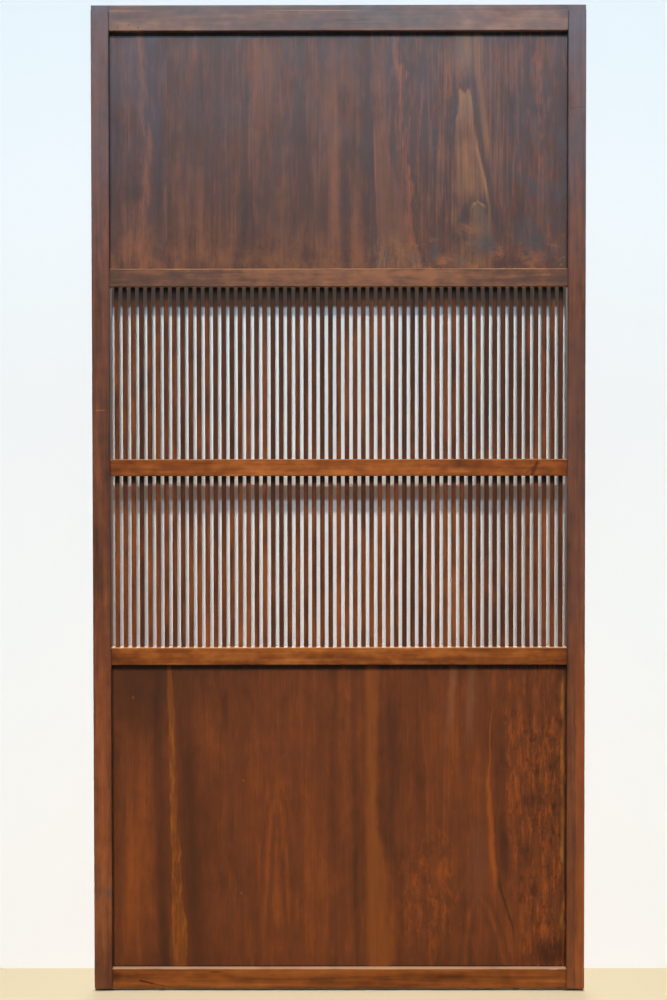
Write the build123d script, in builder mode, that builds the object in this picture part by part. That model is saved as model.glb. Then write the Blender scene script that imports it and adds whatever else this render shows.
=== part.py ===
"""Japanese sliding door leaf: a wedged mortise and tenon frame, two board panels and a fine bar lattice.

X runs across the leaf, -Y is the face that is shown, and Z is up from the sill. Lengths are in millimetres.
"""

import os
from dataclasses import dataclass

from build123d import *

# The leaf as a whole
leaf_width = 879.0
leaf_height = 1757.0
leaf_thickness = 30.0
sill_gap = 5.0  # the rollers hold the wood this far above the sill

# Frame members
stile_width = 32.0
top_rail_height = 46.0
upper_rail_height = 32.0
middle_rail_height = 30.0
lower_rail_height = 31.0
bottom_rail_height = 36.0
rail_setback = 1.5  # the rails' faces lie this far behind the stiles' faces
joint_setback = 5.5  # tenons, grooves and bars lie this far behind the middle of the thickness
arris_chamfer = 1.2
foot_chamfer = 2.0

# Bays between the rails: a panel, two lattices, and a lower panel that takes what is left
upper_panel_height = 421.0
lattice_height = 307.0

# Tongue along the head of the leaf, which runs in the lintel groove
tongue_height = 10.0
tongue_thickness = 19.0

# Through tenons, each spread by two wedges
tenon_thickness = 9.0
haunch_height = 6.0  # wood left between the outermost tenons and the ends of the stiles
wedge_length = 20.0
wedge_thickness = 2.4
wedge_inset = 3.5  # from the tenon's edge to the middle of a wedge

# Board panels, held loose in grooves
panel_thickness = 7.0
groove_depth = 7.0
panel_play = 0.1  # on each face of a board in its groove
panel_expansion = 1.5  # room for the boards to swell, at the foot of each groove
left_board_width = 107.0
middle_board_width = 363.0

# Lattice bars, each one length from the upper rail to the lower one, through the middle rail
bar_count = 55
bar_end_gap = 5.9  # between a stile and the bar next to it
bar_width = 8.1
bar_depth = 4.5
bar_arris = 0.5
bar_housing = 6.0  # depth of the blind mortise at each end of a bar
bar_play = 0.1

# Rollers let into the foot of the leaf
roller_inset = 120.0  # from the side of the leaf to the axle
wheel_radius = 12.0
wheel_width = 7.4
wheel_side_play = 0.5  # between the wheel and each cheek
tread_chamfer = 1.2
axle_radius = 2.5
axle_play = 0.05
axle_head_radius = 3.8
axle_head_height = 0.9
cheek_thickness = 1.5
cheek_radius = 6.0
plate_length = 58.0
plate_width = 15.0
plate_thickness = 1.5
plate_corner = 4.0
plate_play = 0.2
wheel_clearance = 2.0  # round the wheel, in the plate's slot and in the wood

# Square cut nails that hold a roller's plate
nail_width = 2.0
nail_tip_width = 0.6
nail_length = 16.0
nail_head_width = 4.0
nail_head_height = 0.8
nail_end_inset = 6.5  # from the end of the plate to the nail
nail_play = 0.1

# Places worked out from the sizes above
leaf_bottom = sill_gap
leaf_top = leaf_bottom + leaf_height
shoulder_level = leaf_top - tongue_height
inner_width = leaf_width - 2 * stile_width
rail_depth = leaf_thickness - 2 * rail_setback
rebate_depth = (leaf_thickness - tongue_thickness) / 2
rebate_centre = (leaf_thickness + tongue_thickness) / 4

groove_width = panel_thickness + 2 * panel_play
panel_reach = groove_depth - panel_expansion  # how far a board enters its groove
tenon_shoulder = groove_depth  # a tenon starts where a panel groove ends

bar_pitch = (inner_width - 2 * bar_end_gap - bar_width) / (bar_count - 1)

axle_level = wheel_radius
cheek_gap = wheel_width + 2 * wheel_side_play
wheel_slot_length = 2 * (wheel_radius + wheel_clearance)
pocket_level = 2 * wheel_radius + wheel_clearance
nail_spread = plate_length / 2 - nail_end_inset


@dataclass
class Rail:
    """One cross member: its span in height, and the part of that span that its tenons keep."""

    name: str
    bottom: float
    top: float
    tenon_bottom: float
    tenon_top: float
    groove_below: bool = False
    groove_above: bool = False

    @property
    def wedge_levels(self):
        """Heights of the two wedges in each tenon."""
        return self.tenon_bottom + wedge_inset, self.tenon_top - wedge_inset


def rail_under(bay_bottom, name, height, **grooves):
    """A rail whose top closes the bay above it."""
    bottom = bay_bottom - height
    return Rail(name, bottom, bay_bottom, bottom + tenon_shoulder, bay_bottom - tenon_shoulder, **grooves)


top_rail = Rail(
    "top_rail",
    leaf_top - top_rail_height,
    leaf_top,
    leaf_top - top_rail_height + tenon_shoulder,
    shoulder_level - haunch_height,
    groove_below=True,
)
upper_rail = rail_under(top_rail.bottom - upper_panel_height, "upper_rail", upper_rail_height, groove_above=True)
middle_rail = rail_under(upper_rail.bottom - lattice_height, "middle_rail", middle_rail_height)
lower_rail = rail_under(middle_rail.bottom - lattice_height, "lower_rail", lower_rail_height, groove_below=True)
bottom_rail = Rail(
    "bottom_rail",
    leaf_bottom,
    leaf_bottom + bottom_rail_height,
    leaf_bottom + haunch_height,
    leaf_bottom + bottom_rail_height - tenon_shoulder,
    groove_above=True,
)
rails = [top_rail, upper_rail, middle_rail, lower_rail, bottom_rail]
panel_bays = {"upper": (upper_rail.top, top_rail.bottom), "lower": (bottom_rail.top, lower_rail.bottom)}
roller_places = {
    "left": roller_inset - leaf_width / 2,
    "right": leaf_width / 2 - roller_inset,
}


def write(part, name):
    """Labels a finished piece and writes it as its own file."""
    part.label = name
    export_step(part, f"parts/{name}.step")


def build_stile(name, side):
    """A full-height post with through mortises, panel grooves and its end of the lintel tongue."""
    centre_x = side * (leaf_width - stile_width) / 2
    inner_x = side * inner_width / 2
    with BuildPart() as stile:
        with BuildSketch(Plane.XY.offset(leaf_bottom)) as section:
            with Locations((centre_x, 0)):
                Rectangle(stile_width, leaf_thickness)
            chamfer(section.vertices(), arris_chamfer)
        extrude(amount=leaf_height)
        foot_edges = stile.edges().filter_by(Axis.Y).group_by(Axis.Z)[0].sort_by(Axis.X)
        chamfer(foot_edges[-1] if side > 0 else foot_edges[0], foot_chamfer)

        with BuildSketch(Plane.XY.offset(shoulder_level)):
            with Locations((centre_x, rebate_centre), (centre_x, -rebate_centre)):
                Rectangle(stile_width, rebate_depth)
        extrude(amount=tongue_height, mode=Mode.SUBTRACT)

        with BuildSketch(Plane.YZ.offset(inner_x)):
            for rail in rails:
                with Locations((joint_setback, (rail.tenon_bottom + rail.tenon_top) / 2)):
                    Rectangle(tenon_thickness, rail.tenon_top - rail.tenon_bottom)
        extrude(amount=side * stile_width, mode=Mode.SUBTRACT)

        with BuildSketch(Plane.YZ.offset(inner_x)):
            for bay_bottom, bay_top in panel_bays.values():
                with Locations((joint_setback, (bay_bottom + bay_top) / 2)):
                    Rectangle(groove_width, bay_top - bay_bottom + 2 * groove_depth)
        extrude(amount=side * groove_depth, mode=Mode.SUBTRACT)
    write(stile.part, name)


def build_rail(rail):
    """A cross member with through tenons, and the grooves and bar mortises that its bays call for."""
    with BuildPart() as member:
        with BuildSketch(Plane.YZ.offset(-inner_width / 2)) as section:
            with Locations((0, (rail.bottom + rail.top) / 2)):
                Rectangle(rail_depth, rail.top - rail.bottom)
            chamfer(section.vertices(), arris_chamfer)
        extrude(amount=inner_width)

        with BuildSketch(Plane.YZ.offset(-leaf_width / 2)):
            with Locations((joint_setback, (rail.tenon_bottom + rail.tenon_top) / 2)):
                Rectangle(tenon_thickness, rail.tenon_top - rail.tenon_bottom)
        extrude(amount=leaf_width)

        with BuildSketch(Plane.XZ.offset(-joint_setback)):
            for side in (-1, 1):
                for level in rail.wedge_levels:
                    Polygon(*wedge_outline(side, level), align=None)
        extrude(amount=tenon_thickness / 2, both=True, mode=Mode.SUBTRACT)

        if rail.groove_below:
            with BuildSketch(Plane.XY.offset(rail.bottom)):
                with Locations((0, joint_setback)):
                    Rectangle(inner_width, groove_width)
            extrude(amount=groove_depth, mode=Mode.SUBTRACT)
        if rail.groove_above:
            with BuildSketch(Plane.XY.offset(rail.top)):
                with Locations((0, joint_setback)):
                    Rectangle(inner_width, groove_width)
            extrude(amount=-groove_depth, mode=Mode.SUBTRACT)

        if rail is top_rail:
            with BuildSketch(Plane.XY.offset(shoulder_level)):
                with Locations((0, rebate_centre), (0, -rebate_centre)):
                    Rectangle(inner_width, rebate_depth)
            extrude(amount=tongue_height, mode=Mode.SUBTRACT)

        if rail in (upper_rail, middle_rail, lower_rail):
            mortise_bottom = max(rail.bottom, lower_rail.top - bar_housing)
            mortise_top = min(rail.top, upper_rail.bottom + bar_housing)
            with BuildSketch(Plane.XY.offset(mortise_bottom)):
                with Locations((0, joint_setback)):
                    with GridLocations(bar_pitch, bar_depth, bar_count, 1):
                        Rectangle(bar_width + 2 * bar_play, bar_depth + 2 * bar_play)
            extrude(amount=mortise_top - mortise_bottom, mode=Mode.SUBTRACT)

        if rail is bottom_rail:
            for place in roller_places.values():
                with BuildSketch(Plane.XY.offset(leaf_bottom)) as recess:
                    with Locations((place, 0)):
                        Rectangle(plate_length + 2 * plate_play, plate_width + 2 * plate_play)
                    chamfer(recess.vertices(), plate_corner)
                extrude(amount=plate_thickness, mode=Mode.SUBTRACT)
                with BuildSketch(Plane.XY.offset(leaf_bottom)):
                    with Locations((place, 0)):
                        Rectangle(wheel_slot_length, plate_width)
                extrude(amount=pocket_level - leaf_bottom, mode=Mode.SUBTRACT)
                with BuildSketch(Plane.XY.offset(leaf_bottom)):
                    with Locations((place - nail_spread, 0), (place + nail_spread, 0)):
                        Rectangle(nail_width + 2 * nail_play, nail_width + 2 * nail_play)
                extrude(amount=nail_length, mode=Mode.SUBTRACT)
    write(member.part, rail.name)


def wedge_outline(side, level):
    """Corners of one wedge, seen from the front: its thick end is flush with the side of the leaf."""
    outer_x = side * leaf_width / 2
    return [
        (outer_x, level - wedge_thickness / 2),
        (outer_x, level + wedge_thickness / 2),
        (outer_x - side * wedge_length, level),
    ]


def build_wedges():
    """The wedges of every tenon, as one group of separate solids."""
    with BuildPart() as tenon_wedges:
        with BuildSketch(Plane.XZ.offset(-joint_setback)):
            for rail in rails:
                for side in (-1, 1):
                    for level in rail.wedge_levels:
                        Polygon(*wedge_outline(side, level), align=None)
        extrude(amount=tenon_thickness / 2, both=True)
    write(tenon_wedges.part, "tenon_wedges")


def build_panel(bay, bay_bottom, bay_top):
    """Three boards, edge to edge, that fill one bay and sit in the grooves round it."""
    panel_left = -inner_width / 2 - panel_reach
    first_joint = panel_left + left_board_width
    second_joint = first_joint + middle_board_width
    edges = {
        "left": (panel_left, first_joint),
        "middle": (first_joint, second_joint),
        "right": (second_joint, -panel_left),
    }
    for place, (left_x, right_x) in edges.items():
        with BuildPart() as board:
            with BuildSketch(Plane.XY.offset(bay_bottom - panel_reach)):
                with Locations(((left_x + right_x) / 2, joint_setback)):
                    Rectangle(right_x - left_x, panel_thickness)
            extrude(amount=bay_top - bay_bottom + 2 * panel_reach)
        write(board.part, f"{bay}_panel_board_{place}")


def build_bars():
    """The lattice bars, as one group of separate solids."""
    with BuildPart() as lattice_bars:
        with BuildSketch(Plane.XY.offset(lower_rail.top - bar_housing)) as sections:
            with Locations((0, joint_setback)):
                with GridLocations(bar_pitch, bar_depth, bar_count, 1):
                    Rectangle(bar_width, bar_depth)
            chamfer(sections.vertices(), bar_arris)
        extrude(amount=upper_rail.bottom - lower_rail.top + 2 * bar_housing)
    write(lattice_bars.part, "lattice_bars")


def build_roller_case(name, place):
    """A face plate with clipped corners and two cheeks that carry the axle."""
    with BuildPart() as case:
        with BuildSketch(Plane.XY.offset(leaf_bottom)) as plate:
            with Locations((place, 0)):
                Rectangle(plate_length, plate_width)
            chamfer(plate.vertices(), plate_corner)
            with Locations((place, 0)):
                Rectangle(wheel_slot_length, cheek_gap, mode=Mode.SUBTRACT)
            with Locations((place - nail_spread, 0), (place + nail_spread, 0)):
                Rectangle(nail_width + 2 * nail_play, nail_width + 2 * nail_play, mode=Mode.SUBTRACT)
        extrude(amount=plate_thickness)

        with BuildSketch(Plane.XZ.offset(cheek_gap / 2)):
            with Locations((place, (leaf_bottom + axle_level) / 2)):
                Rectangle(2 * cheek_radius, axle_level - leaf_bottom)
            with Locations((place, axle_level)):
                Circle(cheek_radius)
                Circle(axle_radius + axle_play, mode=Mode.SUBTRACT)
        extrude(amount=cheek_thickness)
        mirror(about=Plane.XZ)
    write(case.part, name)


def build_roller_wheel(name, place):
    """A disc with a bevelled tread, bored to run on its axle."""
    bore_radius = axle_radius + axle_play
    with BuildPart() as wheel:
        with BuildSketch(Plane.YZ.offset(place)) as profile:
            with Locations((0, axle_level + (bore_radius + wheel_radius) / 2)):
                Rectangle(wheel_width, wheel_radius - bore_radius)
            chamfer(profile.vertices().group_by(Axis.Y)[-1], tread_chamfer)
        revolve(axis=Axis((place, 0, axle_level), (0, 1, 0)))
    write(wheel.part, name)


def build_roller_axle(name, place):
    """A pin through both cheeks, riveted over at its ends."""
    with BuildPart() as axle:
        with BuildSketch(Plane.XZ):
            with Locations((place, axle_level)):
                Circle(axle_radius)
        extrude(amount=cheek_gap / 2 + cheek_thickness, both=True)
        with BuildSketch(Plane.XZ.offset(cheek_gap / 2 + cheek_thickness)):
            with Locations((place, axle_level)):
                Circle(axle_head_radius)
        extrude(amount=axle_head_height)
        mirror(about=Plane.XZ)
    write(axle.part, name)


def build_nails():
    """The square nails of both rollers, as one group of separate solids."""
    with BuildPart() as roller_nails:
        for place in roller_places.values():
            for nail_x in (place - nail_spread, place + nail_spread):
                with BuildSketch(Plane.XY.offset(leaf_bottom)):
                    with Locations((nail_x, 0)):
                        Rectangle(nail_width, nail_width)
                with BuildSketch(Plane.XY.offset(leaf_bottom + nail_length)):
                    with Locations((nail_x, 0)):
                        Rectangle(nail_tip_width, nail_tip_width)
                loft()
                with BuildSketch(Plane.XY.offset(leaf_bottom)):
                    with Locations((nail_x, 0)):
                        Rectangle(nail_head_width, nail_head_width)
                extrude(amount=-nail_head_height)
    write(roller_nails.part, "roller_nails")


os.makedirs("parts", exist_ok=True)
build_stile("stile_left", -1)
build_stile("stile_right", 1)
for frame_rail in rails:
    build_rail(frame_rail)
build_wedges()
for bay_name, (low, high) in panel_bays.items():
    build_panel(bay_name, low, high)
build_bars()
for hand, roller_x in roller_places.items():
    build_roller_case(f"roller_case_{hand}", roller_x)
    build_roller_wheel(f"roller_wheel_{hand}", roller_x)
    build_roller_axle(f"roller_axle_{hand}", roller_x)
build_nails()
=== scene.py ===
"""Finish of an old sliding door leaf: stained softwood frame, board panels, bar lattice and iron rollers.

Metres, in the leaf's own frame: X to the right across it, -Y out of the shown face, Z up from the sill.
"""

import math

import bpy
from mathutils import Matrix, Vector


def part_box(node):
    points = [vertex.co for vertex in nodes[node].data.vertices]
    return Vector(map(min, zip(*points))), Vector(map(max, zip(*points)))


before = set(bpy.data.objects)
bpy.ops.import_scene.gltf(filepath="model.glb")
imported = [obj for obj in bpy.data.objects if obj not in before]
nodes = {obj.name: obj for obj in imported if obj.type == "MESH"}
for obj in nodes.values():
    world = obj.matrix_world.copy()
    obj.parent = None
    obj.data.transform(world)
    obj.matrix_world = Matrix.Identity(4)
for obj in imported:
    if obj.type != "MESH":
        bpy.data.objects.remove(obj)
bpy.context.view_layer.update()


# Places taken from the frame

inner_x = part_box("stile_right")[0][0]
outer_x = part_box("stile_right")[1][0]
leaf_low, leaf_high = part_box("stile_right")[0][2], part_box("stile_right")[1][2]
upper_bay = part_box("upper_rail")[1][2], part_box("top_rail")[0][2]
lower_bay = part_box("bottom_rail")[1][2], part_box("lower_rail")[0][2]


# Shader maths

class Field:
    """A socket that works in sums: an expression on fields adds the nodes that work it out."""

    def __init__(self, tree, socket=None):
        self.tree = tree
        self.socket = socket

    def node(self, kind, sockets=None, out=0, stops=None, **settings):
        """Adds any node: its settings first, then the values or links of its sockets."""
        made = self.tree.nodes.new(kind)
        for key, value in settings.items():
            setattr(made, key, value)
        if stops:
            ramp = made.color_ramp
            while len(ramp.elements) < len(stops):
                ramp.elements.new(1)
            for element, (position, colour) in zip(ramp.elements, stops):
                element.position = position
                element.color = colour
        for key, value in (sockets or {}).items():
            if isinstance(value, Field):
                self.tree.links.new(value.socket, made.inputs[key])
            else:
                made.inputs[key].default_value = value
        return Field(self.tree, made.outputs[out] if len(made.outputs) else None)

    def math(self, operation, first, second=0.0):
        return self.node("ShaderNodeMath", {0: first, 1: second}, operation=operation)

    def __add__(self, other):
        return self.math("ADD", self, other)

    def __sub__(self, other):
        return self.math("SUBTRACT", self, other)

    def __rsub__(self, other):
        return self.math("SUBTRACT", other, self)

    def __mul__(self, other):
        return self.math("MULTIPLY", self, other)

    def __truediv__(self, other):
        return self.math("DIVIDE", self, other)

    def __abs__(self):
        return self.math("ABSOLUTE", self)

    __radd__ = __add__
    __rmul__ = __mul__

    def floor(self):
        return self.math("FLOOR", self)

    def root(self):
        return self.math("SQRT", self)

    def least(self, other):
        return self.math("MINIMUM", self, other)

    def most(self, other):
        return self.math("MAXIMUM", self, other)

    def ease(self, none_at, full_at):
        """0 up to none_at, 1 from full_at on, smooth between; the two may fall as well as rise."""
        sockets = {"Value": self, "From Min": none_at, "From Max": full_at}
        return self.node("ShaderNodeMapRange", sockets, interpolation_type="SMOOTHSTEP")

    def slide(self, start, stop, change):
        """0 up to start, change from stop on, straight between."""
        sockets = {"Value": self, "From Min": start, "From Max": stop, "To Max": change}
        return self.node("ShaderNodeMapRange", sockets)

    def mix(self, without, full):
        """A colour that goes from one to the other as this field goes from 0 to 1."""
        return self.node("ShaderNodeMix", {0: self, 6: without, 7: full}, out=2, data_type="RGBA")

    def chance(self):
        """A random number for each whole value of this field."""
        return self.node("ShaderNodeTexWhiteNoise", {"W": self}, noise_dimensions="1D")


def tint(red, green, blue):
    """A colour written in screen values from 0 to 255, as the linear colour that shaders use."""
    linear = []
    for value in (red, green, blue):
        share = value / 255
        linear.append(share / 12.92 if share <= 0.04045 else ((share + 0.055) / 1.055) ** 2.4)
    return (*linear, 1.0)


def new_material(name):
    """An empty node material, and the field that its nodes start from."""
    material = bpy.data.materials.new(name)
    material.use_nodes = True
    material.node_tree.nodes.clear()
    return material, Field(material.node_tree)


# Wood

class Wood:
    """Old stained softwood on one piece: a tone built up from grain and marks, and its shader.

    A tone of 0.5 is the plain wood, 0 its darkest and 1 its palest colour.
    """

    def __init__(self, name, along, seed, tones, streaks=0.6, patches=0.5, mottle=0.3, lines=0.45):
        self.material, start = new_material(name)
        self.place = start.node("ShaderNodeTexCoord", out="Object")
        self.x = start.node("ShaderNodeSeparateXYZ", {0: self.place}, out="X")
        self.y = start.node("ShaderNodeSeparateXYZ", {0: self.place}, out="Y")
        self.z = start.node("ShaderNodeSeparateXYZ", {0: self.place}, out="Z")
        self.along, self.across = (self.z, self.x) if along == "Z" else (self.x, self.z)
        self.grain = start.node("ShaderNodeCombineXYZ", {0: self.across, 1: self.y, 2: self.along})
        self.seed = seed
        self.tones = tones
        self.marks = []

        self.fibre = self.cloud((0.0012, 0.006, 0.08), detail=3, roughness=0.65)
        self.line = self.cloud((0.0045, 0.02, 0.14), shift=1)
        self.streak = self.cloud((0.016, 0.05, 0.24), detail=4, shift=2)
        self.wobble = self.cloud((0.03, 0.1, 0.045), detail=3, shift=3)
        patch = self.cloud((0.075, 0.2, 0.4), shift=4)
        fleck = self.cloud((0.016, 0.05, 0.03), detail=3, shift=5)
        self.tone = 0.5 + 0.35 * self.fibre + lines * self.line + streaks * self.streak
        self.tone = self.tone + patches * patch + mottle * fleck

    def cloud(self, size, detail=2, roughness=0.5, shift=0, lean=0.0):
        """Noise about zero, with a grain of this size across, through and along the wood."""
        scale = [1 / length for length in size]
        offset = self.seed * 3.7 + shift * 11.3
        sockets = {"Vector": self.grain, "Scale": scale, "Location": (offset, offset * 0.6, offset * 0.3)}
        sockets["Rotation"] = (0, lean, 0)
        turned = self.grain.node("ShaderNodeMapping", sockets)
        noise = {"Vector": turned, "Scale": 1.0, "Detail": detail, "Roughness": roughness}
        return turned.node("ShaderNodeTexNoise", noise) - 0.5

    def flecks(self, size, shift, none_at, full_at, lean=0.0):
        """1 on scattered ragged flecks of about this size, 0 between them."""
        return self.cloud(size, 6, 0.68, shift, lean).ease(none_at, full_at)

    def path(self, *places):
        """The x of a line drawn on the face through these places (x, z), from the top down."""
        x = places[0][0]
        for (high_x, high_z), (low_x, low_z) in zip(places, places[1:]):
            x = x + self.z.slide(high_z, low_z, low_x - high_x)
        return x

    def stripe(self, places, half_width, soft, wander=0.006):
        """1 on a stripe along the grain through these places, 0 off it."""
        off = abs(self.x - self.path(*places) + wander * self.wobble)
        return off.ease(half_width + soft, half_width - soft)

    def right_of(self, places, soft, wander=0.006):
        """1 to the right of a line through these places, 0 to its left."""
        off = self.x - self.path(*places) + wander * self.wobble
        return off.ease(-soft, soft)

    def span(self, low, high, soft):
        """1 between two heights, 0 above and below them."""
        return self.z.ease(low - soft, low + soft) * self.z.ease(high + soft, high - soft)

    def arch(self, apex, spread, lean, wander=0.012):
        """How far a place lies outside an arch of growth rings; less than zero inside it."""
        drop = (apex[1] - self.z).most(0)
        off = abs(self.x - apex[0] - drop * lean + wander * self.wobble)
        return off - drop.root() * spread

    def spot(self, centre, size, soft=0.5):
        """1 on an oval of this half-size about a place (x, z) on the face, 0 off it."""
        right = (self.x - centre[0]) / size[0]
        up = (self.z - centre[1]) / size[1]
        return (right * right + up * up).root().ease(1 + soft, 1 - soft)

    def stroke(self, start, stop, half_width, soft):
        """1 on a straight scratch in the shown face from one place (x, z) to another, 0 off it."""
        length = math.dist(start, stop)
        run, rise = (stop[0] - start[0]) / length, (stop[1] - start[1]) / length
        right, up = self.x - start[0], self.z - start[1]
        reached = (right * run + up * rise).most(0).least(length)
        right, up = right - reached * run, up - reached * rise
        off = (right * right + up * up).root()
        return off.ease(half_width + soft, half_width - soft) * self.y.ease(0.003, 0.0)

    def shade(self, mask, amount):
        """Makes the wood paler, or darker by a negative amount, where the mask is."""
        self.tone = self.tone + mask * amount

    def mark(self, mask, colour):
        """Lays another colour over the wood where the mask is."""
        self.marks.append((mask, colour))

    def bloom_and_sheen(self, amount):
        """Greys the wood in clouds towards the head of the leaf: a painted cool sheen, with a grey bloom on
        the finish.
        """
        film = 1 + 3.2 * self.cloud((0.04, 0.1, 0.10), detail=4, roughness=0.6, shift=9)
        self.mark(self.z.slide(1.25, leaf_high, amount) * film, BLOOM_AND_SHEEN)

    def finish(self, specular=0.30, rough=0.41):
        """Puts the shader on top of the fields."""
        dark, body, pale = self.tones
        stops = [(0.0, dark), (0.5, body), (1.0, pale)]
        colour = self.tone.node("ShaderNodeValToRGB", {0: self.tone}, stops=stops)
        for mask, mark in self.marks:
            colour = mask.mix(colour, mark)
        height = self.fibre + 0.8 * self.line
        normal = height.node("ShaderNodeBump", {"Strength": 0.2, "Distance": 0.0006, "Height": height})
        skin = {"Base Color": colour, "Roughness": rough + 0.25 * self.streak + 0.12 * self.wobble}
        skin |= {"Normal": normal, "Specular IOR Level": specular}
        surface = normal.node("ShaderNodeBsdfPrincipled", skin)
        surface.node("ShaderNodeOutputMaterial", {"Surface": surface})
        return self.material


# Colours: three tones for each kind of wood, from dark to pale, then the marks on it, then the stage

UPPER_PANEL = tint(40, 27, 24), tint(77, 43, 29), tint(137, 80, 48)
LOWER_PANEL = tint(54, 31, 17), tint(103, 52, 25), tint(154, 78, 28)
TOP_RAIL = tint(64, 38, 29), tint(104, 64, 47), tint(142, 96, 72)
UPPER_RAIL = tint(52, 27, 14), tint(89, 48, 24), tint(134, 79, 44)
MIDDLE_RAIL = tint(84, 38, 13), tint(133, 68, 23), tint(176, 100, 42)
LOWER_RAIL = tint(80, 36, 13), tint(128, 66, 22), tint(170, 98, 42)
BOTTOM_RAIL = tint(74, 35, 14), tint(136, 72, 27), tint(172, 100, 45)
STILE = tint(62, 29, 13), tint(110, 56, 27), tint(152, 86, 42)
BAR = tint(36, 18, 10), tint(78, 40, 21), tint(140, 74, 32)

# Near-black: painted shade in recesses and under rails, and real dirt in nail holes, scratches and a gouge.
GRIME_AND_SHADE = tint(22, 11, 7)
DUSK = tint(33, 26, 30)
SOOT = tint(56, 30, 17)
SLATE = tint(62, 60, 64)
# Bluish grey laid towards the head: a painted cool sheen, with a grey bloom on the finish.
BLOOM_AND_SHEEN = tint(90, 98, 118)
ARCH_FILL = tint(92, 76, 62)
UPPER_SAPWOOD = tint(102, 62, 40)
CHESTNUT = tint(112, 64, 42)
SAPWOOD = tint(116, 63, 22)
DUST = tint(132, 84, 58)
PALE_SAPWOOD = tint(134, 72, 28)
STRAW = tint(140, 92, 54)
CROWN = tint(142, 100, 62)
CURL = tint(146, 84, 48)
FLAME = tint(148, 84, 52)
HONEY = tint(150, 90, 46)
RIDGE = tint(150, 94, 38)
EMBER = tint(152, 78, 44)
GLOW = tint(152, 74, 25)
TONGUE = tint(153, 105, 62)
AMBER = tint(156, 84, 26)
TONGUE_LEG = tint(156, 102, 60)
ARCH_LINE = tint(156, 114, 64)
TONGUE_RIM = tint(160, 104, 58)
# Pale arris and ledge colours: worn wood, with a painted highlight on edges that face up.
GOLD_WEAR_AND_HIGHLIGHT = tint(196, 130, 74)
PALE_WEAR_AND_HIGHLIGHT = tint(206, 166, 134)

STUDIO_WHITE = tint(240, 242, 244)
FLOOR = tint(250, 233, 198)
WALL_FOOT = tint(255, 250, 244)
WALL_HEAD = tint(222, 234, 240)
BOUNCE = tint(130, 120, 104)

UPPER_SHEEN = 0.22
LOWER_SHEEN = 0.14
BAR_SHEEN = 0.13


def moved(places, shift):
    """The same line on the face, moved sideways."""
    return tuple((x + shift, z) for x, z in places)


def dress(node, material):
    """Gives a carried-over solid its finish."""
    nodes[node].data.materials.clear()
    nodes[node].data.materials.append(material)


def board(name, seed, tones, bay, **grain):
    """A panel board, darkened where it meets the frame round its bay: painted shade in the recess, with
    some dirt.
    """
    wood = Wood(f"{name}_wood", "Z", seed, tones, **grain)
    edge = (inner_x - abs(wood.x)).least(wood.z - bay[0]).least(bay[1] - wood.z)
    # Painted shade with some dust along the frame, a near-black painted shade line at the edge, and painted
    # shadow under the rail above.
    wood.shade(edge.ease(0.035, 0.0), -0.12)
    wood.mark(edge.ease(0.004, 0.0005) * 0.75, GRIME_AND_SHADE)
    wood.mark((bay[1] - wood.z).ease(0.011, 0.007) * 0.85, GRIME_AND_SHADE)
    return wood


# Upper panel

def upper_board(place, seed, ember, dusk, honey, **grain):
    """An upper panel board: purplish brown, streaked and patched, and more orange at its foot."""
    wood = board(f"upper_panel_board_{place}", seed, UPPER_PANEL, upper_bay, **grain)
    wood.tone = wood.tone + 0.07
    wood.mark(wood.flecks((0.035, 0.06, 0.10), 12, 0.0, 0.2) * dusk, DUSK)
    reddish = wood.flecks((0.009, 0.03, 0.07), 11, 0.0, 0.2)
    wood.mark(reddish * (ember + wood.z.slide(1.5, 1.7, 0.15)), EMBER)
    wood.mark(wood.z.ease(1.42, 1.29) * wood.flecks((0.03, 0.06, 0.05), 13, -0.16, 0.20) * honey, HONEY)
    return wood


def upper_left_board():
    wood = upper_board("left", 21, ember=0.14, dusk=0.35, honey=0.42, lines=0.3)
    flame = ((-0.359, 1.703), (-0.353, 1.635), (-0.343, 1.54), (-0.343, 1.466), (-0.352, 1.33))
    licks = wood.flecks((0.006, 0.02, 0.045), 16, -0.14, 0.12)
    wood.mark(wood.stripe(flame, 0.008, 0.005, 0.03) * licks * 0.5, FLAME)
    wood.shade(wood.stripe(moved(flame, 0.022), 0.010, 0.007), -0.18)
    wood.bloom_and_sheen(0.27)
    return wood.finish(UPPER_SHEEN)


def upper_middle_board():
    wood = upper_board("middle", 22, ember=0.16, dusk=0.35, honey=0.42, lines=0.3)
    for places, half_width, amount in (
        (((-0.28, 1.66), (-0.275, 1.49)), 0.026, -0.12),
        (((-0.165, 1.645), (-0.168, 1.35)), 0.005, -0.22),
        (((-0.12, 1.70), (-0.125, 1.46)), 0.012, 0.10),
        (((-0.026, 1.46), (-0.03, 1.35)), 0.009, -0.20),
        (((0.006, 1.62), (0.012, 1.30)), 0.008, -0.18),
        (((0.046, 1.69), (0.054, 1.30)), 0.008, -0.20),
        (((0.026, 1.70), (0.030, 1.60)), 0.006, 0.12),
    ):
        ends = wood.span(places[-1][1], places[0][1], 0.05)
        wood.shade(wood.stripe(places, half_width, half_width * 0.7) * ends, amount)
    wood.bloom_and_sheen(0.17)
    return wood.finish(UPPER_SHEEN)


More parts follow.
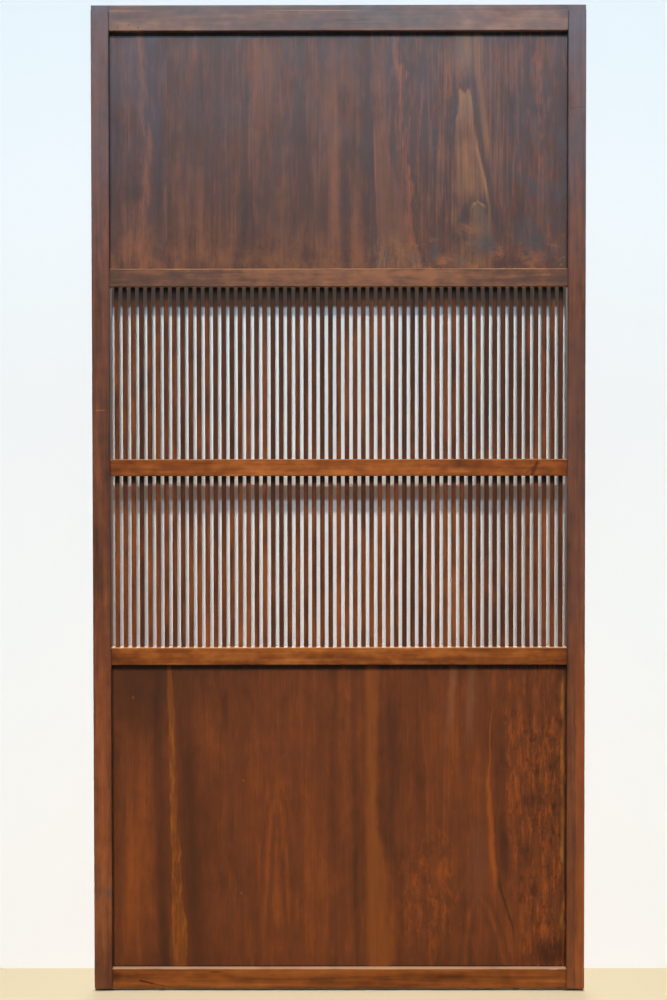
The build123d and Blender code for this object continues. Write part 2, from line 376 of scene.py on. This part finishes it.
def upper_right_board():
    """The board with the arched figure: a pale tongue, a smaller arch below it and swirls at its foot."""
    wood = upper_board("right", 23, ember=0.38, dusk=0.45, honey=0.18)
    wood.shade(wood.z.ease(1.66, 1.56), -0.09)
    wood.tone = wood.tone + 0.05
    seam = ((0.061, 1.70), (0.063, 1.55), (0.070, 1.297))
    fringe = ((0.064, 1.56), (0.073, 1.534), (0.103, 1.449), (0.131, 1.353), (0.139, 1.297))
    wood.shade(1 - wood.right_of(seam, 0.001, wander=0.001), -0.22)
    sapwood = wood.right_of(seam, 0.0008, wander=0.001) * (1 - wood.right_of(fringe, 0.008, wander=0.03))
    wood.mark(sapwood * wood.z.ease(1.57, 1.50) * (0.6 + wood.streak), UPPER_SAPWOOD)
    gleam = wood.stripe(((0.064, 1.55), (0.0665, 1.42)), 0.0015, 0.001, 0.001)
    wood.mark(gleam * wood.span(1.44, 1.55, 0.02) * 0.5, EMBER)
    ragged = ((0.106, 1.686), (0.112, 1.551), (0.126, 1.466), (0.140, 1.303))
    wood.mark(wood.stripe(ragged, 0.004, 0.004, 0.05) * (0.4 + 2.5 * wood.line), EMBER)
    wood.shade(wood.stripe(moved(ragged, 0.010), 0.004, 0.004, 0.05), -0.14)
    shaded = wood.stripe(((0.09, 1.70), (0.10, 1.58)), 0.012, 0.010, 0.02)
    wood.shade(shaded * wood.span(1.57, 1.71, 0.02), -0.14)

    jagged = wood.cloud((0.004, 0.05, 0.5), shift=14) * 0.05
    left = ((0.2145, 1.612), (0.2135, 1.573), (0.2085, 1.562), (0.2055, 1.50), (0.201, 1.35))
    right = ((0.236, 1.612), (0.240, 1.555), (0.250, 1.505), (0.264, 1.455), (0.272, 1.405), (0.277, 1.33))
    inside = wood.right_of(left, 0.0012, 0.008) * (1 - wood.right_of(right, 0.0012, 0.008))
    tongue = inside * (wood.z + jagged).ease(1.614, 1.609)
    lift = 0.10 + 0.22 * wood.z.ease(1.40, 1.50) + 0.40 * wood.z.ease(1.53, 1.60)
    wood.mark(tongue * (lift + 0.8 * wood.wobble + 0.7 * wood.line), TONGUE)
    rim = wood.stripe(moved(right, -0.003), 0.0025, 0.0015, 0.008)
    wood.mark(rim * wood.span(1.39, 1.53, 0.03) * 0.55, TONGUE_RIM)
    for side, edge in ((-0.006, left), (0.006, right)):
        along = wood.stripe(moved(edge, side), 0.003, 0.003, 0.008)
        wood.shade(along * wood.span(1.42, 1.64, 0.03), -0.18)
    wood.shade(wood.spot((0.2245, 1.635), (0.016, 0.018), 0.6), -0.20)
    wood.mark(wood.spot((0.230, 1.68), (0.026, 0.04), 0.6) * (0.42 + 1.5 * wood.streak), CROWN)
    lined = wood.spot((0.182, 1.52), (0.026, 0.2), 0.5) + wood.spot((0.30, 1.58), (0.03, 0.14), 0.5)
    wood.shade(wood.span(1.34, 1.70, 0.05) * lined * wood.line, 0.9)
    leg_line = ((0.249, 1.70), (0.251, 1.64), (0.256, 1.59), (0.259, 1.56), (0.263, 1.52), (0.267, 1.48))
    leg = wood.stripe(leg_line, 0.005, 0.004, 0.012) * wood.z.ease(1.47, 1.53)
    wood.mark(leg * (0.55 + wood.streak + 0.6 * wood.line), TONGUE_LEG)
    small = wood.arch((0.25, 1.415), 0.105, 0.04) + jagged * 0.3
    wood.mark(abs(small).ease(0.005, 0.0005) * wood.span(1.406, 1.4165, 0.004) * 0.55, ARCH_LINE)
    wood.mark(abs(small - 0.011).ease(0.011, 0.004) * wood.span(1.36, 1.428, 0.012) * 0.4, DUSK)
    wood.mark(small.ease(0.0, -0.006) * wood.span(1.34, 1.41, 0.02) * 0.45, ARCH_FILL)
    wood.mark(wood.spot((0.226, 1.375), (0.010, 0.028), 0.6) * 0.5, DUSK)
    sparks = wood.stripe(((0.357, 1.70), (0.359, 1.49)), 0.006, 0.005, 0.03) * wood.span(1.46, 1.70, 0.03)
    wood.mark(sparks * wood.flecks((0.006, 0.02, 0.03), 16, -0.08, 0.12) * 0.6, EMBER)
    wood.shade(wood.stripe(((0.32, 1.70), (0.33, 1.42)), 0.024, 0.02, 0.05), -0.10)
    wood.shade(wood.stripe(((0.395, 1.70), (0.395, 1.35)), 0.012, 0.01), -0.06)

    corner = wood.spot((0.37, 1.43), (0.075, 0.16), 0.6)
    wood.mark(corner * wood.flecks((0.022, 0.05, 0.034), 7, -0.08, 0.14, lean=0.6) * 0.6, SLATE)
    foot = wood.z.ease(1.38, 1.31)
    wood.mark(foot * wood.flecks((0.026, 0.05, 0.016), 8, 0.03, 0.16) * 0.5, HONEY)
    wood.mark(foot * wood.flecks((0.026, 0.05, 0.022), 17, 0.0, 0.16) * 0.5, SLATE)
    curls = wood.flecks((0.018, 0.05, 0.012), 19, -0.14, 0.10)
    for centre, size in (
        ((0.231, 1.366), (0.018, 0.011)),
        ((0.284, 1.324), (0.014, 0.011)),
        ((0.345, 1.318), (0.022, 0.014)),
        ((0.190, 1.312), (0.016, 0.010)),
    ):
        wood.mark(wood.spot(centre, size, 0.7) * curls * 0.6, CURL)
    for centre, size in (
        ((0.172, 1.325), (0.008, 0.018)),
        ((0.262, 1.335), (0.018, 0.014)),
        ((0.355, 1.345), (0.02, 0.016)),
    ):
        wood.mark(wood.spot(centre, size, 0.7) * 0.45, SLATE)
    strip = wood.spot((0.10, 1.30), (0.045, 0.05), 0.4) * wood.flecks((0.008, 0.03, 0.03), 18, -0.1, 0.14)
    wood.mark(strip * 0.5, STRAW)
    wood.shade(wood.spot((0.25, 1.36), (0.08, 0.06), 0.6), -0.14)
    wood.bloom_and_sheen(0.21)
    return wood.finish(UPPER_SHEEN)


# Lower panel

def lower_board(place, seed, **grain):
    """A lower panel board: red-brown, with faint orange streaks and dark clouds."""
    wood = board(f"lower_panel_board_{place}", seed, LOWER_PANEL, lower_bay, **grain)
    wood.tone = wood.tone - 0.03
    wood.mark(wood.flecks((0.04, 0.06, 0.10), 12, 0.0, 0.22) * 0.35, SOOT)
    wood.mark(wood.flecks((0.014, 0.03, 0.08), 11, 0.0, 0.24) * 0.25, GLOW)
    return wood


def sapwood_band(wood):
    """The yellowish strip of sapwood beside the lower panel's left joint, dark on both sides."""
    left = ((-0.309, 0.582), (-0.304, 0.319), (-0.300, 0.058))
    right = ((-0.299, 0.582), (-0.292, 0.319), (-0.274, 0.058))
    wood.mark(wood.stripe(moved(left, -0.016), 0.012, 0.012) * 0.5, SOOT)
    wood.mark(wood.stripe(moved(right, 0.018), 0.014, 0.014) * wood.z.ease(0.60, 0.40) * 0.5, SOOT)
    ragged = wood.cloud((0.005, 0.02, 0.060), 4, shift=15)
    between = wood.right_of(left, 0.003, 0.006) * (1 - wood.right_of(right, 0.004, 0.02))
    band = (between + 0.8 * ragged).ease(0.25, 0.85)
    wood.mark(band * (0.48 + 1.5 * wood.streak), SAPWOOD)
    bright = wood.flecks((0.007, 0.02, 0.045), 16, -0.06, 0.16) * wood.span(0.04, 0.50, 0.06)
    wood.mark(band * bright * 0.6, AMBER)


def lower_left_board():
    wood = lower_board("left", 24, streaks=0.35, lines=0.15)
    wood.mark(wood.spot((-0.35, 0.56), (0.07, 0.09), 0.6) * 0.6, SOOT)
    wood.shade(wood.spot((-0.365, 0.325), (0.028, 0.10), 0.7), 0.08)
    wood.shade(wood.spot((-0.365, 0.14), (0.03, 0.12), 0.7), 0.16)
    sapwood_band(wood)
    wood.mark(wood.spot((-0.370, 0.528), (0.0016, 0.0026)) * 0.6, GLOW)
    return wood.finish(LOWER_SHEEN)


def lower_middle_board():
    wood = lower_board("middle", 25, streaks=0.35, lines=0.15)
    wood.mark(wood.spot((-0.262, 0.29), (0.03, 0.16), 0.6) * 0.4, SOOT)
    wood.mark(wood.spot((-0.262, 0.55), (0.05, 0.05), 0.7) * 0.45, SOOT)
    smear = wood.stripe(((-0.205, 0.53), (-0.205, 0.487)), 0.006, 0.005)
    wood.shade(smear * wood.span(0.47, 0.54, 0.02), -0.2)
    arches = wood.arch((-0.112, 0.345), 0.05, 0.0)
    for offset, amount in ((0.0, 0.09), (0.010, -0.08), (-0.008, -0.08)):
        wood.shade(abs(arches - offset).ease(0.005, 0.001) * wood.span(0.10, 0.36, 0.06), amount)
    wood.shade(wood.spot((-0.112, 0.15), (0.009, 0.03), 0.6), 0.14)
    for places, half_width, amount in (
        (((-0.06, 0.5), (-0.055, 0.06)), 0.012, 0.06),
        (((-0.012, 0.53), (-0.010, 0.07)), 0.008, -0.12),
        (((0.028, 0.45), (0.030, 0.07)), 0.005, -0.14),
        (((0.014, 0.4), (0.016, 0.07)), 0.005, 0.08),
    ):
        wood.shade(wood.stripe(places, half_width, half_width * 0.7), amount)
    sapwood_band(wood)
    wood.mark(wood.right_of(((0.0495, 0.58), (0.0515, 0.05)), 0.008, 0.010) * 0.6, PALE_SAPWOOD)
    for place in ((-0.172, 0.378), (-0.176, 0.174)):
        wood.mark(wood.spot(place, (0.0016, 0.0022)) * 0.6, GLOW)
    return wood.finish(LOWER_SHEEN)


def lower_right_board():
    """The board with a slanting orange line, an arch beside its foot and flecked figure on both sides."""
    wood = lower_board("right", 26, streaks=0.45, lines=0.3)
    edge = ((0.068, 0.58), (0.067, 0.29), (0.084, 0.238), (0.091, 0.058))
    wood.mark((1 - wood.right_of(edge, 0.008, 0.03)) * (0.58 + 1.2 * wood.streak), PALE_SAPWOOD)
    wood.mark(wood.spot((0.092, 0.42), (0.02, 0.14), 0.5) * 0.45, SOOT)
    wood.mark(wood.stripe(moved(edge, 0.020), 0.012, 0.010, 0.02) * wood.z.ease(0.33, 0.26) * 0.5, SOOT)
    for places, half_width in (
        (((0.205, 0.575), (0.194, 0.435)), 0.006),
        (((0.238, 0.575), (0.234, 0.44)), 0.007),
    ):
        dusty = wood.stripe(places, half_width, 0.005, 0.012) * wood.span(0.46, 0.60, 0.04)
        wood.mark(dusty * 0.35, DUST)
    wood.mark(wood.spot((0.25, 0.23), (0.018, 0.08), 0.6) * 0.35, CHESTNUT)

    fine = wood.flecks((0.010, 0.02, 0.028), 7, -0.03, 0.17, lean=-0.45)
    figured = wood.spot((0.165, 0.17), (0.055, 0.10), 0.6)
    wood.mark(figured * fine * 0.55, GLOW)
    wood.mark(figured * wood.flecks((0.02, 0.03, 0.03), 14, 0.0, 0.2, lean=-0.45) * 0.5, SOOT)
    streaked = wood.right_of(((0.290, 0.58), (0.297, 0.284), (0.335, 0.05)), 0.02)
    streaked = streaked * (0.45 + 0.55 * wood.z.ease(0.53, 0.46))
    wood.mark(streaked * wood.flecks((0.006, 0.02, 0.036), 15, -0.03, 0.16) * 0.7, GLOW)
    wood.mark(streaked * wood.flecks((0.014, 0.03, 0.030), 16, 0.0, 0.17) * 0.72, SOOT)
    wood.mark(wood.spot((0.298, 0.25), (0.010, 0.06), 0.6) * 0.5, SOOT)
    for centre, size in (
        ((0.343, 0.341), (0.018, 0.011)),
        ((0.340, 0.245), (0.008, 0.024)),
        ((0.352, 0.18), (0.006, 0.013)),
    ):
        wood.mark(wood.spot(centre, size, 0.5) * 0.5, SOOT)

    orange = (
        (0.275, 0.514), (0.270, 0.424), (0.270, 0.345), (0.275, 0.251),
        (0.282, 0.187), (0.307, 0.10), (0.314, 0.06),
    )
    girth = 0.0014 + 0.0036 * wood.span(0.20, 0.36, 0.06)
    line_off = abs(wood.x - wood.path(*orange) + 0.012 * wood.wobble)
    line = (1 - line_off / girth).ease(-0.8, 0.8) * wood.span(0.19, 0.50, 0.05)
    wood.mark(line * (0.6 + 1.2 * wood.streak), GLOW)
    depth = 0.3 * wood.span(0.20, 0.38, 0.06) + 0.7 * wood.span(0.10, 0.20, 0.02)
    wood.mark(wood.stripe(moved(orange, 0.008), 0.0020, 0.002, 0.012) * depth, SOOT)
    murk = wood.stripe(moved(orange, 0.018), 0.009, 0.009, 0.03)
    wood.mark(murk * wood.span(0.22, 0.46, 0.05) * 0.4, SOOT)
    arches = wood.arch((0.25, 0.168), 0.105, 0.10)
    for offset, amount in ((0.0, 0.12), (-0.010, -0.08), (0.010, -0.10)):
        wood.shade(abs(arches - offset).ease(0.005, 0.001) * wood.z.ease(0.19, 0.13), amount)
    wood.mark(wood.spot((0.385, 0.066), (0.032, 0.022), 0.6) * 0.6, GRIME_AND_SHADE)
    ridge = wood.stripe(((0.4010, 0.57), (0.4010, 0.07)), 0.0028, 0.0026, 0.004)
    worn = 0.5 + 3 * wood.wobble + 2 * wood.streak
    wood.mark(ridge * worn * wood.span(0.12, 0.57, 0.03), RIDGE)
    return wood.finish(LOWER_SHEEN)


# Frame members and lattice

def rail(name, seed, tones, ledge_wear_and_highlight, arris_wear_and_highlight, foot_glow, mottle=1.2):
    """A cross member: grain along it, darker at its shoulders, its upper arris and ledge paler: wear with a
    painted highlight.
    """
    low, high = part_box(name)
    wood = Wood(f"{name}_wood", "X", seed, tones, streaks=1.2, patches=1.6, mottle=mottle)
    wood.shade(abs(wood.x).ease(inner_x - 0.03, inner_x), -0.14)
    wood.shade(abs(wood.x).ease(inner_x - 0.0025, inner_x - 0.0005), -0.35)
    wood.shade(abs(wood.x).ease(outer_x - 0.003, outer_x - 0.001), -0.25)
    wood.shade(wood.z.ease(low[2] + 0.006, low[2] + 0.001), foot_glow)
    # The upper arris and the top face paler: worn wood, with a painted highlight where they face up to the
    # light.
    patchiness = 1.2 * wood.streak + 1.4 * wood.wobble
    arris = wood.z.ease(high[2] - 0.0016, high[2] - 0.0009)
    wood.mark(arris * (arris_wear_and_highlight + patchiness), GOLD_WEAR_AND_HIGHLIGHT)
    ledge = wood.z.ease(high[2] - 0.0005, high[2] - 0.0002)
    wood.mark(ledge * (ledge_wear_and_highlight + patchiness), PALE_WEAR_AND_HIGHLIGHT)
    return wood


def top_rail():
    wood = rail("top_rail", 1, TOP_RAIL, ledge_wear_and_highlight=0.0, arris_wear_and_highlight=0.0, foot_glow=0.18)
    tongue_height = 0.010
    shoulder = leaf_high - tongue_height
    wood.shade(wood.z.ease(shoulder - 0.001, shoulder + 0.001), -0.08)
    # A pale line along the tongue's shoulder: a painted highlight on the upward step, with wear.
    wood.mark(abs(wood.z - shoulder).ease(0.0016, 0.0004) * (0.15 + 2.5 * wood.streak), PALE_WEAR_AND_HIGHLIGHT)
    for place in ((-0.398, 1.7155), (-0.392, 1.721), (-0.372, 1.726), (-0.355, 1.722)):
        wood.mark(wood.spot(place, (0.0016, 0.0014)) * 0.8, GRIME_AND_SHADE)
    wood.mark(wood.stroke((0.055, 1.7525), (0.092, 1.7535), 0.0006, 0.0004) * 0.8, GRIME_AND_SHADE)
    wood.bloom_and_sheen(0.16)
    return wood.finish()


def upper_rail():
    wood = rail("upper_rail", 2, UPPER_RAIL, ledge_wear_and_highlight=1.1, arris_wear_and_highlight=0.3, foot_glow=0.10)
    wood.shade(wood.stroke((0.28, 1.279), (0.375, 1.284), 0.002, 0.002), 0.3)
    wood.shade(wood.stroke((-0.02, 1.276), (0.16, 1.279), 0.003, 0.003), -0.12)
    return wood.finish()


def middle_rail():
    wood = rail("middle_rail", 3, MIDDLE_RAIL, ledge_wear_and_highlight=0.4, arris_wear_and_highlight=0.6, foot_glow=-0.05)
    wood.shade(wood.stroke((0.3535, 0.9495), (0.345, 0.930), 0.0026, 0.003), -0.6)
    wood.shade(wood.stroke((0.349, 0.940), (0.336, 0.933), 0.0018, 0.003), -0.35)
    wood.shade(wood.spot((-0.26, 0.950), (0.05, 0.004), 0.7), -0.2)
    return wood.finish(LOWER_SHEEN)


def lower_rail():
    wood = rail("lower_rail", 4, LOWER_RAIL, ledge_wear_and_highlight=0.2, arris_wear_and_highlight=0.6, foot_glow=-0.05)
    return wood.finish(LOWER_SHEEN)


def bottom_rail():
    wood = rail("bottom_rail", 5, BOTTOM_RAIL, ledge_wear_and_highlight=1.0, arris_wear_and_highlight=0.35, foot_glow=-0.15, mottle=0.6)
    wood.mark(wood.stroke((-0.358, 0.0200), (-0.336, 0.0145), 0.0013, 0.0010) * 0.85, GRIME_AND_SHADE)
    wood.mark(wood.stroke((-0.336, 0.0145), (-0.315, 0.0105), 0.0008, 0.0008) * 0.7, GRIME_AND_SHADE)
    wood.shade(wood.spot((-0.222, 0.0355), (0.011, 0.0025), 0.6), -0.35)
    wood.mark(wood.stroke((0.378, 0.0404), (0.392, 0.0404), 0.0008, 0.0006) * 0.7, PALE_WEAR_AND_HIGHLIGHT)
    return wood.finish(LOWER_SHEEN)


def stile(name, seed, patches):
    """An upright: grain up it, its arrises dark with handling, in patches given as (low, high, amount)."""
    wood = Wood(f"{name}_wood", "Z", seed, STILE, streaks=0.8, mottle=0.6, lines=0.6)
    wood.shade(wood.z.slide(leaf_low, leaf_high, 1.0), -0.38)
    wood.tone = wood.tone + 0.09
    wood.shade(abs(wood.x).ease(inner_x + 0.006, inner_x + 0.001), -0.14)
    wood.shade(abs(wood.x).ease(outer_x - 0.002, outer_x), -0.15)
    wood.shade(wood.z.ease(leaf_high - 0.0015, leaf_high - 0.0005), -0.25)
    wood.shade(wood.z.ease(leaf_low + 0.0015, leaf_low + 0.0005), -0.25)
    for low, high, amount in patches:
        wood.shade(wood.span(low, high, 0.08), amount)
    wood.mark(wood.flecks((0.016, 0.03, 0.12), 12, 0.0, 0.2) * 0.4, SOOT)
    wood.mark(wood.flecks((0.007, 0.03, 0.09), 11, 0.02, 0.2) * 0.3, GLOW)
    wood.bloom_and_sheen(0.36)
    return wood


def left_stile():
    """The stile that glows beside the lower panel, with a grey stain across it and a dark foot."""
    wood = stile("stile_left", 11, ((-0.1, 0.12, -0.12), (0.22, 0.45, 0.09), (0.75, 1.1, -0.06)))
    wood.shade(wood.stroke((-0.432, 1.0435), (-0.418, 1.0435), 0.001, 0.001), 0.5)
    glowing = wood.stripe(((-0.4225, 0.62), (-0.4225, 0.2)), 0.007, 0.004) * wood.span(0.21, 0.60, 0.05)
    wood.mark(glowing * 0.24, GLOW)
    wood.mark(wood.span(0.169, 0.186, 0.004) * (0.30 + 1.5 * wood.wobble), SLATE)
    wood.mark(wood.z.ease(0.14, 0.02) * 0.36, SOOT)
    return wood.finish()


def right_stile():
    """The stile with a dark inner and an orange outer half beside the lower panel, and grey by the bars."""
    wood = stile("stile_right", 12, ((-0.1, 0.15, 0.10), (0.75, 1.1, -0.16), (1.62, 1.9, 0.08)))
    wood.shade(wood.stroke((0.412, 1.578), (0.438, 1.581), 0.001, 0.001), -0.3)
    wood.mark(wood.span(0.64, 1.18, 0.06) * 0.16, SLATE)
    outer_half = wood.right_of(((0.4232, 0.66), (0.4232, 0.0)), 0.0018, 0.008)
    halved = wood.z.ease(0.66, 0.54)
    wood.mark(halved * outer_half * (0.36 + 0.8 * wood.streak), GLOW)
    wood.mark(halved * (1 - outer_half) * (0.24 + 0.8 * wood.streak), SOOT)
    return wood.finish()


def lattice_bars(name, bar_count=55, bar_width=0.0081):
    """Thin bars, each of its own tone and with blotches of its own, and painted shade under the rails."""
    low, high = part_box(name)
    pitch = (high[0] - low[0] - bar_width) / (bar_count - 1)
    wood = Wood("bar_wood", "Z", 31, BAR, streaks=0.5, patches=0.4)
    number = ((wood.x - low[0] + (pitch - bar_width) / 2) / pitch).floor()
    wood.tone = wood.tone + 0.24 * (number + 0.5).chance() - 0.12
    wood.tone = wood.tone + 0.9 * wood.cloud((0.012, 0.05, 0.07), detail=4, roughness=0.6, shift=7)
    # Painted shade: the bars darker up by the upper rail and just under the middle rail, where the rails'
    # shadow falls.
    wood.shade(wood.z.ease(1.20, 1.27), -0.25)
    wood.shade(wood.span(0.87, 0.93, 0.01), -0.15)
    wood.shade(wood.z.ease(1.0, 0.85), 0.10)
    # Painted shadow of the upper and middle rails over the tops of the bars below them.
    for rail_name, reach in (("upper_rail", 0.026), ("middle_rail", 0.016)):
        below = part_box(rail_name)[0][2] - wood.z
        wood.mark(below.ease(reach, reach * 0.65) * below.ease(-0.01, 0.0) * 0.93, GRIME_AND_SHADE)
    return wood.finish(BAR_SHEEN)


def wedge_ends():
    wood = Wood("wedge_wood", "X", 40, STILE, streaks=0.5)
    wood.shade(abs(wood.x).ease(outer_x - 0.003, outer_x - 0.001), 0.15)
    return wood.finish()


# Roller metal

def metal(name, clean, dull, rough, scale):
    """Bare or plated metal, clouded and dulled in patches."""
    material, start = new_material(name)
    place = start.node("ShaderNodeTexCoord", out="Object")
    broad = {"Vector": place, "Scale": scale, "Detail": 5.0, "Roughness": 0.6}
    cloud = start.node("ShaderNodeTexNoise", broad)
    fine = start.node("ShaderNodeTexNoise", {"Vector": place, "Scale": scale * 9, "Detail": 3.0})
    dirt = (cloud + 0.3 * fine).ease(0.55, 0.85)
    normal = start.node("ShaderNodeBump", {"Strength": 0.15, "Distance": 0.0003, "Height": fine})
    skin = {"Base Color": dirt.mix(clean, dull), "Metallic": 1 - 0.6 * dirt}
    skin |= {"Roughness": rough + 0.3 * dirt, "Normal": normal}
    surface = start.node("ShaderNodeBsdfPrincipled", skin)
    start.node("ShaderNodeOutputMaterial", {"Surface": surface})
    return material


finishes = {
    "upper_panel_board_left": upper_left_board(),
    "upper_panel_board_middle": upper_middle_board(),
    "upper_panel_board_right": upper_right_board(),
    "lower_panel_board_left": lower_left_board(),
    "lower_panel_board_middle": lower_middle_board(),
    "lower_panel_board_right": lower_right_board(),
    "top_rail": top_rail(),
    "upper_rail": upper_rail(),
    "middle_rail": middle_rail(),
    "lower_rail": lower_rail(),
    "bottom_rail": bottom_rail(),
    "stile_left": left_stile(),
    "stile_right": right_stile(),
    "lattice_bars": lattice_bars("lattice_bars"),
    "tenon_wedges": wedge_ends(),
}
for node, finish in finishes.items():
    dress(node, finish)

plated = metal("plated_sheet", tint(176, 172, 162), tint(112, 98, 80), rough=0.38, scale=90)
pin = metal("steel_pin", tint(190, 188, 184), tint(120, 108, 94), rough=0.30, scale=140)
iron = metal("iron_wheel", tint(150, 146, 140), tint(66, 54, 46), rough=0.42, scale=110)
for hand in ("left", "right"):
    dress(f"roller_case_{hand}", plated)
    dress(f"roller_axle_{hand}", pin)
    dress(f"roller_wheel_{hand}", iron)
dress("roller_nails", plated)


# Stage, light and camera

def background_rays(start):
    """1 on the rays that show the background: from the camera, or by way of metal or glass."""
    rays = start.node("ShaderNodeLightPath", out="Is Camera Ray")
    for kind in ("Is Glossy Ray", "Is Transmission Ray"):
        rays = rays.most(start.node("ShaderNodeLightPath", out=kind))
    return rays


def stage_plane(name, corners, foot, head, glow_behind, glow_beside, see_through=False):
    """A flat sheet of floor or backdrop, with a faint glow behind the leaf's bars and another round them.

    A see-through one shows to the camera alone, from its front; any other fades into white further off.
    """
    mesh = bpy.data.meshes.new(name)
    mesh.from_pydata(corners, [], [(0, 1, 2, 3)])
    sheet = bpy.data.objects.new(name, mesh)
    bpy.context.scene.collection.objects.link(sheet)
    material, start = new_material(f"{name}_paint")
    place = start.node("ShaderNodeTexCoord", out="Object")
    across = abs(start.node("ShaderNodeSeparateXYZ", {0: place}, out="X"))
    depth = abs(start.node("ShaderNodeSeparateXYZ", {0: place}, out="Y"))
    away = (across * across + depth * depth).root()
    height = start.node("ShaderNodeSeparateXYZ", {0: place}, out="Z")
    pale = start.node("ShaderNodeBsdfDiffuse", {"Color": height.slide(0.0, leaf_high, 1.0).mix(foot, head)})
    dull = start.node("ShaderNodeBsdfDiffuse", {"Color": BOUNCE})
    bounced = start.node("ShaderNodeLightPath", out="Is Diffuse Ray")
    surface = start.node("ShaderNodeMixShader", {0: bounced, 1: pale, 2: dull})
    below = depth.ease(0.022, 0.014) * height.ease(0.004, 0.002)
    under_leaf = across.ease(outer_x + 0.004, outer_x) * below
    shine_behind = start.node("ShaderNodeValToRGB", {0: height / leaf_high}, stops=glow_behind)
    shine_beside = start.node("ShaderNodeValToRGB", {0: height / leaf_high}, stops=glow_beside)
    clear_of_bars = across.ease(inner_x, outer_x).most(height.ease(upper_bay[0], upper_bay[0] + 0.06))
    shine = clear_of_bars.mix(shine_behind, shine_beside)
    strength = background_rays(start) * (1 - under_leaf)
    shining = start.node("ShaderNodeEmission", {"Color": shine, "Strength": strength})
    surface = start.node("ShaderNodeAddShader", {0: surface, 1: shining})
    camera_ray = start.node("ShaderNodeLightPath", out="Is Camera Ray")
    if see_through:
        behind = start.node("ShaderNodeNewGeometry", out="Backfacing")
        clear = start.node("ShaderNodeBsdfTransparent")
        surface = start.node("ShaderNodeMixShader", {0: camera_ray * (1 - behind), 1: clear, 2: surface})
    else:
        white = start.node("ShaderNodeEmission", {"Color": STUDIO_WHITE, "Strength": 1.0})
        white_from, white_at = 1.2, 4.0
        far_off = camera_ray * away.ease(white_from, white_at)
        surface = start.node("ShaderNodeMixShader", {0: far_off, 1: surface, 2: white})
    start.node("ShaderNodeOutputMaterial", {"Surface": surface})
    mesh.materials.append(material)


floor_reach = 12.0
floor_corners = [
    (-floor_reach, -floor_reach, 0), (floor_reach, -floor_reach, 0),
    (floor_reach, floor_reach, 0), (-floor_reach, floor_reach, 0),
]
floor_glow = [(0.0, tint(56, 42, 26)), (1.0, tint(56, 42, 26))]
stage_plane("floor", floor_corners, FLOOR, FLOOR, floor_glow, floor_glow)

wall_reach, wall_height = 3.0, 4.0
wall_foot_y, wall_y_at_head = 0.142, 0.017
wall_top_y = wall_foot_y + (wall_y_at_head - wall_foot_y) * wall_height / leaf_high
wall_corners = [
    (-wall_reach, wall_foot_y, 0), (wall_reach, wall_foot_y, 0),
    (wall_reach, wall_top_y, wall_height), (-wall_reach, wall_top_y, wall_height),
]
wall_glow = [(0.43, tint(92, 82, 78)), (0.67, tint(24, 23, 22))]
wall_glow_beside = [(0.43, tint(88, 74, 70)), (0.60, tint(92, 68, 66)), (0.80, tint(103, 92, 95))]
stage_plane("backdrop", wall_corners, WALL_FOOT, WALL_HEAD, wall_glow, wall_glow_beside, see_through=True)

world = bpy.data.worlds.new("studio")
world.use_nodes = True
world.node_tree.nodes.clear()
bpy.context.scene.world = world
sky = Field(world.node_tree)
faint_light = 0.08 + 0.42 * background_rays(sky)
backing = sky.node("ShaderNodeBackground", {"Color": (1, 1, 1, 1), "Strength": faint_light})
white = sky.node("ShaderNodeBackground", {"Color": STUDIO_WHITE, "Strength": 1.0})
in_view = sky.node("ShaderNodeLightPath", out="Is Camera Ray")
shown = sky.node("ShaderNodeMixShader", {0: in_view, 1: backing, 2: white})
sky.node("ShaderNodeOutputWorld", {"Surface": shown})


def softbox(name, place, aim, width, height, watts, colour, spread=180):
    """A lamp with a flat rectangular face, turned towards a place; spread is the angle of its beam."""
    lamp = bpy.data.lights.new(name, "AREA")
    lamp.shape = "RECTANGLE"
    lamp.size, lamp.size_y = width, height
    lamp.energy = watts
    lamp.color = colour
    lamp.spread = math.radians(spread)
    holder = bpy.data.objects.new(name, lamp)
    holder.location = place
    across, depth, fall = (aim[axis] - place[axis] for axis in range(3))
    reach = math.hypot(across, depth)
    holder.rotation_euler = (math.atan2(reach, -fall), 0, math.atan2(-across, depth))
    bpy.context.scene.collection.objects.link(holder)


middle = (0, 0, 1.0)
warm, cool, plain = (1.0, 0.93, 0.82), (0.64, 0.84, 1.0), (1.0, 0.98, 0.96)
softbox("near_strip", (0, -6.5, 5.75), (0, 0, 0.2), width=0.7, height=0.5, watts=38, colour=warm, spread=50)
softbox("far_strip", (0, -11.0, 6.4), middle, width=1.4, height=0.7, watts=790, colour=cool)
softbox("back_fill", (0, 4.5, 2.6), middle, width=2.4, height=1.2, watts=110, colour=plain)

camera = bpy.data.cameras.new("camera")
camera.sensor_width = 36.0
camera.lens = 68.64
camera_object = bpy.data.objects.new("camera", camera)
camera_object.location = (0.0002, -3.415, 0.9698)
tilt_down, roll, turn = 1.458, 0.06, 0.161
camera_object.rotation_euler = [math.radians(angle) for angle in (90 - tilt_down, roll, turn)]
bpy.context.scene.collection.objects.link(camera_object)
bpy.context.scene.camera = camera_object
bpy.context.scene.view_settings.view_transform = "Standard"
